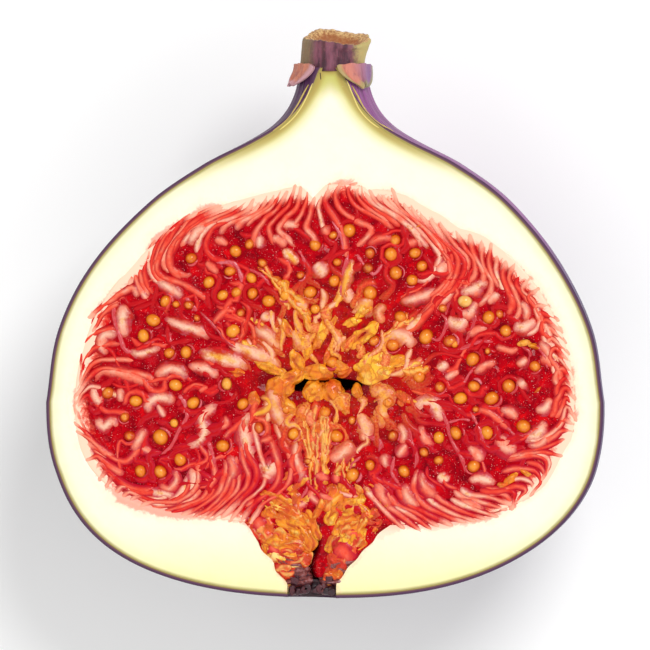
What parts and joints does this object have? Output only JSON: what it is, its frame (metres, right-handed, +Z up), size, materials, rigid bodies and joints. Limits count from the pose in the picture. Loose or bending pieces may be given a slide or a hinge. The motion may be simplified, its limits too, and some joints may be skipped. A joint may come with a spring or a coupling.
{
  "type": "halved fig",
  "caption": "Half of a fresh fig cut lengthwise, lying on its back: thin purple skin, pale flesh, red seedy pulp round a slit hollow, scaled eye, short stem with bracts.",
  "frame": {"origin": "centre of the base of the bounding box, on the surface that the half rests on", "axes": "+Z up, out of the level cut face; +Y from the eye to the stem; +X to the right of someone looking down on the cut face"},
  "size_m": [0.0544, 0.0552, 0.0289],
  "materials": {
    "skin": "smooth ripe purple peel with a faint bloom",
    "flesh": "moist cream flesh, yellow-green towards the skin",
    "pulp": "wet red florets and gel with golden seeds",
    "passage_bracts": "moist golden papery bracts",
    "eye_scales": "dark red-purple scales",
    "stem": "ribbed brown-purple stalk with a torn yellow-brown end",
    "basal_bracts": "thin russet and mauve bracts"
  },
  "bodies": {
    "root": {"skin": "skin", "flesh": "flesh", "pulp": "pulp", "passage_bracts": "passage_bracts", "eye_scales": "eye_scales", "stem": "stem", "bract_left": "basal_bracts", "bract_right": "basal_bracts", "bract_back": "basal_bracts"}
  },
  "joints": []
}
